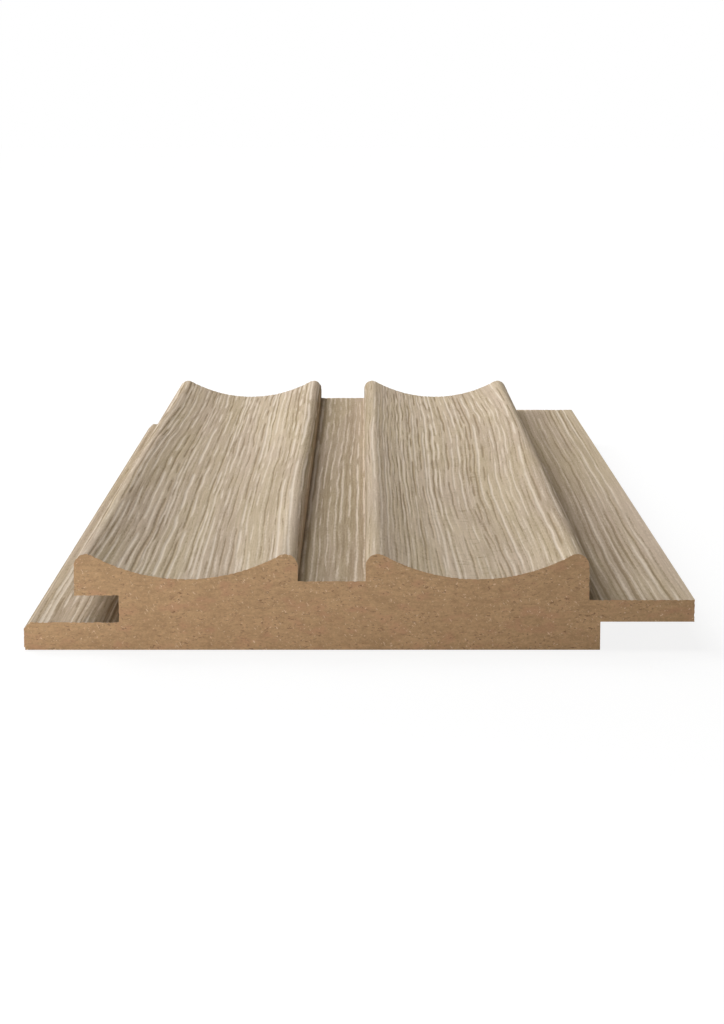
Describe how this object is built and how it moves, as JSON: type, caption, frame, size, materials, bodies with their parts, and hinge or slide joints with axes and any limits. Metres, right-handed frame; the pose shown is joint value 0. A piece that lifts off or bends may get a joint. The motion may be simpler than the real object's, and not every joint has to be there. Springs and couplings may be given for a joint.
{
  "type": "mdf wall panel",
  "caption": "Fluted MDF wall panel with scooped ribs and a flat channel under an oak-look decor foil; a grooved lip and a tongue along its edges join it to the next panel.",
  "frame": {"origin": "on the back face, at the middle of the overall width and length", "axes": "+X across the panel from the lip to the tongue, +Y along the length, +Z out of the wall"},
  "size_m": [0.124, 0.3, 0.018],
  "materials": {
    "mdf": "matte",
    "oak_foil": "matte"
  },
  "bodies": {
    "root": {"mdf_core": "mdf", "decor_foil": "oak_foil"}
  },
  "joints": []
}
